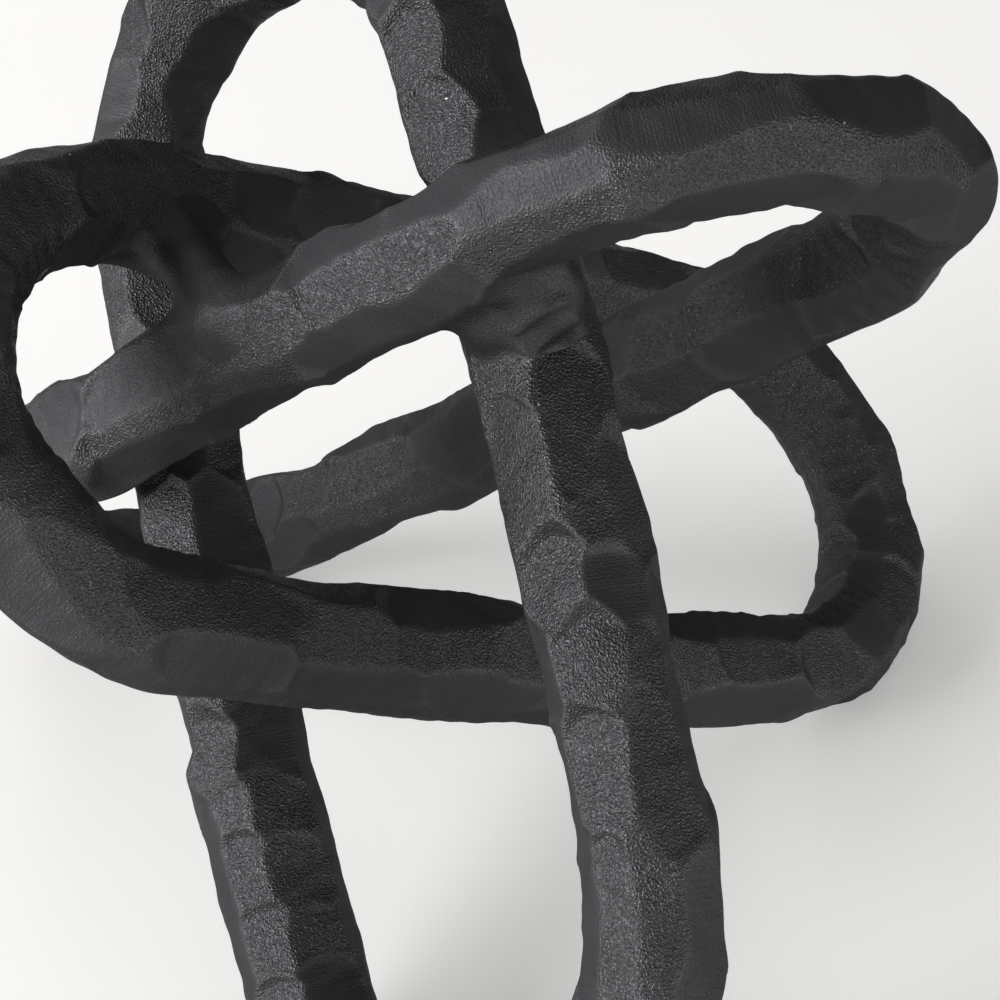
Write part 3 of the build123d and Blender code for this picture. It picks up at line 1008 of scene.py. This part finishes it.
def cast_grain_group(name):
    """Pebbly height of a sand-cast skin about its mean, of two sizes of noise, and a mask of patches."""
    tree, inputs, outputs = group_tree(
        name,
        (("Vector", "NodeSocketVector", None), ("Scale", "NodeSocketFloat", 1600.0)),
        ("Height", "Patches"),
    )
    vector, scale = inputs["Vector"], inputs["Scale"]
    coarse = noise_node(tree, vector, scale, detail=0.6, roughness=0.5)
    fine_scale = math_node(tree, "MULTIPLY", scale, FINE_GRAIN_SCALE)
    fine = noise_node(tree, vector, fine_scale, detail=0.0, roughness=0.5)
    pebbles = math_node(tree, "MULTIPLY_ADD", fine, FINE_GRAIN_SHARE, coarse)
    feed(tree, outputs["Height"], math_node(tree, "SUBTRACT", pebbles, GRAIN_MEAN))
    patch_scale = math_node(tree, "MULTIPLY", scale, PATCH_SCALE)
    feed(tree, outputs["Patches"], noise_node(tree, vector, patch_scale, detail=2.0, roughness=0.6))
    return tree


def file_marks_group(name):
    """Height of fine file marks that run round the bar: noise squeezed along the bar's length."""
    tree, inputs, outputs = group_tree(name, (("Place", "NodeSocketVector", None),), ("Height",))
    mapping = tree.nodes.new("ShaderNodeMapping")
    mapping.inputs["Rotation"].default_value = (radians(42.0), radians(9.0), radians(4.0))
    mapping.inputs["Scale"].default_value = (45.0, 45.0, 3300.0)
    feed(tree, mapping.inputs["Vector"], inputs["Place"])
    lines = noise_node(tree, mapping.outputs["Vector"], scale=1.0, detail=2.0, roughness=0.6)
    feed(tree, outputs["Height"], lines)
    return tree


def dust_group(name):
    """Mask of sparse specks: the middles of a few cells of a fine Voronoi pattern."""
    tree, inputs, outputs = group_tree(
        name,
        (
            ("Vector", "NodeSocketVector", None),
            ("Scale", "NodeSocketFloat", 220.0),
            ("Share", "NodeSocketFloat", 0.06),
        ),
        ("Mask",),
    )
    cells = tree.nodes.new("ShaderNodeTexVoronoi")
    feed(tree, cells.inputs["Vector"], inputs["Vector"])
    feed(tree, cells.inputs["Scale"], inputs["Scale"])
    near = math_node(tree, "LESS_THAN", cells.outputs["Distance"], DUST_RADIUS)
    parts = tree.nodes.new("ShaderNodeSeparateColor")
    feed(tree, parts.inputs["Color"], cells.outputs["Color"])
    chosen = math_node(tree, "LESS_THAN", parts.outputs["Red"], inputs["Share"])
    feed(tree, outputs["Mask"], math_node(tree, "MULTIPLY", near, chosen))
    return tree


def place_group(tree, name, make, vector):
    """A node group in a material, made at its first use and fed with places."""
    node = tree.nodes.new("ShaderNodeGroup")
    node.node_tree = bpy.data.node_groups.get(name) or make(name)
    feed(tree, node.inputs[0], vector)
    return node


def coat(finish, slot):
    """The material of a slot, made at its first use."""
    name, setting, grain_share, roughness, follows_bar = COATS[slot]
    made = bpy.data.materials.get(name)
    return made or coated_metal(name, finish, getattr(finish, setting), grain_share, roughness, follows_bar)


def coated_metal(name, finish, colour, grain_share, roughness, follows_bar):
    """Matte black coat over cast metal: grain, file marks on ground faces, thin coat on ridges, dust."""
    material = bpy.data.materials.new(name)
    material.use_nodes = True
    tree = material.node_tree
    shader = tree.nodes["Principled BSDF"]
    shader.inputs["Metallic"].default_value = 0.85
    shader.inputs["Specular Tint"].default_value = (0.3, 0.3, 0.3, 1.0)
    coords = tree.nodes.new("ShaderNodeTexCoord").outputs["Object"]
    grain = place_group(tree, "Cast grain", cast_grain_group, coords)
    grain.inputs["Scale"].default_value = 1 / finish.grain_size
    patches = grain.outputs["Patches"]
    dust = place_group(tree, "Dust specks", dust_group, coords)
    pebbles = math_node(tree, "MULTIPLY", grain.outputs["Height"], grain_share)
    relief = pebbles
    wear = math_node(tree, "MULTIPLY", patches, PATCH_WEAR)
    rough = math_node(tree, "MULTIPLY_ADD", patches, PATCH_ROUGHNESS, roughness - PATCH_ROUGHNESS / 2)
    if follows_bar:
        ground = mesh_value(tree, "ground", "Fac")
        place = mesh_value(tree, "bar_place", "Vector")
        lines = place_group(tree, "File marks", file_marks_group, place)
        kept = math_node(tree, "MULTIPLY_ADD", ground, -GROUND_LOSS, 1.0)
        pebbles = math_node(tree, "MULTIPLY", pebbles, kept)
        filed = math_node(tree, "MULTIPLY", lines.outputs["Height"], ground)
        relief = math_node(tree, "MULTIPLY_ADD", filed, FILE_HEIGHT, pebbles)
        wear = math_node(tree, "MULTIPLY_ADD", mesh_value(tree, "ridge", "Fac"), RIDGE_WEAR, wear)
        rough = math_node(tree, "MULTIPLY_ADD", ground, GROUND_ROUGHNESS, rough)
    rough = math_node(tree, "MULTIPLY_ADD", pebbles, -POLISH, rough)
    base = mix_colour(tree, wear, opaque(colour), opaque(finish.worn_colour))
    base = mix_colour(tree, dust.outputs["Mask"], base, opaque(finish.dust_colour))
    feed(tree, shader.inputs["Base Color"], base)
    feed(tree, shader.inputs["Roughness"], rough)
    bump = tree.nodes.new("ShaderNodeBump")
    bump.inputs["Strength"].default_value = 1.0
    bump.inputs["Distance"].default_value = finish.grain_height
    feed(tree, bump.inputs["Height"], relief)
    feed(tree, shader.inputs["Normal"], bump.outputs["Normal"])
    return material


def floor_material(colour, glow):
    """Pale matte floor with faint mottling, and a painted glow of its own that lightens the shadows cast on
    it.
    """
    material = bpy.data.materials.new("Pale floor")
    material.use_nodes = True
    tree = material.node_tree
    shader = tree.nodes["Principled BSDF"]
    shader.inputs["Roughness"].default_value = 0.85
    shader.inputs["Specular IOR Level"].default_value = 0.2
    # Painted glow: the floor gives off its own colour as light, which lightens the shadows on it
    shader.inputs["Emission Color"].default_value = opaque(colour)
    shader.inputs["Emission Strength"].default_value = glow
    coords = tree.nodes.new("ShaderNodeTexCoord").outputs["Object"]
    mottle = noise_node(tree, coords, scale=9.0, detail=3.0, roughness=0.55)
    darker = tuple(MOTTLE_SHADE * share for share in colour)
    feed(tree, shader.inputs["Base Color"], mix_colour(tree, mottle, opaque(colour), opaque(darker)))
    return material


def soft_light(context, name, power, place, aim, width, height):
    """A rectangular soft light aimed at a point."""
    light = bpy.data.lights.new(name, "AREA")
    light.shape = "RECTANGLE"
    light.size = width
    light.size_y = height
    light.energy = power
    lamp = bpy.data.objects.new(name, light)
    lamp.location = place
    lamp.visible_camera = False
    lamp.rotation_euler = (Vector(aim) - Vector(place)).to_track_quat("-Z", "Y").to_euler()
    context.scene.collection.objects.link(lamp)


class KNOT_OT_rings(bpy.types.Operator):
    """Make the castings and seams of the three rings"""

    bl_idname = "knot.rings"
    bl_label = "Rings"

    def execute(self, context):
        for name in RING_NAMES:
            make_ring(context, HammeredRing(context.scene, name))
        return {"FINISHED"}


class KNOT_OT_touch_welds(bpy.types.Operator):
    """Make the welds at the three crossings where bars touch"""

    bl_idname = "knot.touch_welds"
    bl_label = "Touch welds"

    def execute(self, context):
        slanted, wide, upright = (HammeredRing(context.scene, name) for name in RING_NAMES)
        slanted_bar, wide_bar, upright_bar = (hammered_skin(ring) for ring in (slanted, wide, upright))
        shoulder = crossing(slanted, SHOULDER_AT, upright)
        bodies = (slanted_bar, puddled(upright, upright_bar), weld_bead(upright))
        weld_lump(context, "shoulder_weld", bodies, shoulder, rippled=upright)
        low = crossing(slanted, CROSSING_AT_SLANTED, upright)
        weld_lump(context, "slanted_to_upright_weld", (slanted_bar, upright_bar), low)
        high = crossing(wide, CROSSING_AT_WIDE, upright)
        weld_lump(context, "wide_to_upright_weld", (wide_bar, upright_bar), high)
        return {"FINISHED"}


class KNOT_OT_bridge_weld(bpy.types.Operator):
    """Make the waisted bridge between the slanted and the wide ring"""

    bl_idname = "knot.bridge_weld"
    bl_label = "Bridge weld"

    def execute(self, context):
        slanted, wide = (HammeredRing(context.scene, name) for name in ("slanted", "wide"))
        bridge_pillar(context, "slanted_to_wide_bridge", slanted, wide)
        return {"FINISHED"}


class KNOT_OT_stage(bpy.types.Operator):
    """Make the floor, the lights and the camera"""

    bl_idname = "knot.stage"
    bl_label = "Stage"

    def execute(self, context):
        scene = context.scene
        stage = scene.knot_stage
        half = FLOOR_HALF
        corners = [(-half, -half, 0.0), (half, -half, 0.0), (half, half, 0.0), (-half, half, 0.0)]
        mesh = bpy.data.meshes.new("floor")
        mesh.from_pydata(corners, [], [(0, 1, 2, 3)])
        mesh.materials.append(floor_material(stage.floor_colour, stage.floor_painted_glow))
        floor = bpy.data.objects.new("floor", mesh)
        scene.collection.objects.link(floor)
        for name, power, *setting in LIGHTS:
            soft_light(context, name, getattr(stage, power), *setting)
        world = bpy.data.worlds.new("studio")
        world.use_nodes = True
        background = world.node_tree.nodes["Background"]
        background.inputs["Color"].default_value = (0.97, 0.985, 1.0, 1.0)
        background.inputs["Strength"].default_value = 0.17
        scene.world = world
        scene.view_settings.view_transform = "Standard"
        camera = bpy.data.cameras.new("camera")
        camera.lens = stage.lens
        camera.sensor_width = 36.0
        camera.clip_start = 0.01
        holder = bpy.data.objects.new("camera", camera)
        holder.location = stage.camera_place
        holder.rotation_euler = (pi / 2 - stage.camera_down, 0.0, 0.0)
        scene.collection.objects.link(holder)
        scene.camera = holder
        return {"FINISHED"}


class KNOT_PT_panel(bpy.types.Panel):
    """Sidebar panel that lists the pieces, sizes and finish"""

    bl_idname = "KNOT_PT_panel"
    bl_label = "Knot sculpture"
    bl_space_type = "VIEW_3D"
    bl_region_type = "UI"
    bl_category = "Knot"

    def draw(self, context):
        layout = self.layout
        for operator in OPERATORS:
            layout.operator(operator.bl_idname)
        for name in SETTINGS:
            settings = getattr(context.scene, name)
            box = layout.box()
            for setting in settings.__annotations__:
                box.prop(settings, setting)


SETTINGS = {"knot_sizes": KnotSizes, "knot_finish": KnotFinish, "knot_stage": KnotStage}
OPERATORS = (KNOT_OT_rings, KNOT_OT_touch_welds, KNOT_OT_bridge_weld, KNOT_OT_stage)
CLASSES = (*SETTINGS.values(), *OPERATORS, KNOT_PT_panel)


def register():
    """Registers the settings, operators and panel."""
    for item in CLASSES:
        bpy.utils.register_class(item)
    for name, settings in SETTINGS.items():
        setattr(bpy.types.Scene, name, PointerProperty(type=settings))


def unregister():
    """Takes back what register did."""
    for name in SETTINGS:
        delattr(bpy.types.Scene, name)
    for item in reversed(CLASSES):
        bpy.utils.unregister_class(item)


def main():
    register()
    bpy.ops.knot.rings()
    bpy.ops.knot.touch_welds()
    bpy.ops.knot.bridge_weld()
    bpy.ops.knot.stage()


if __name__ == "__main__":
    main()
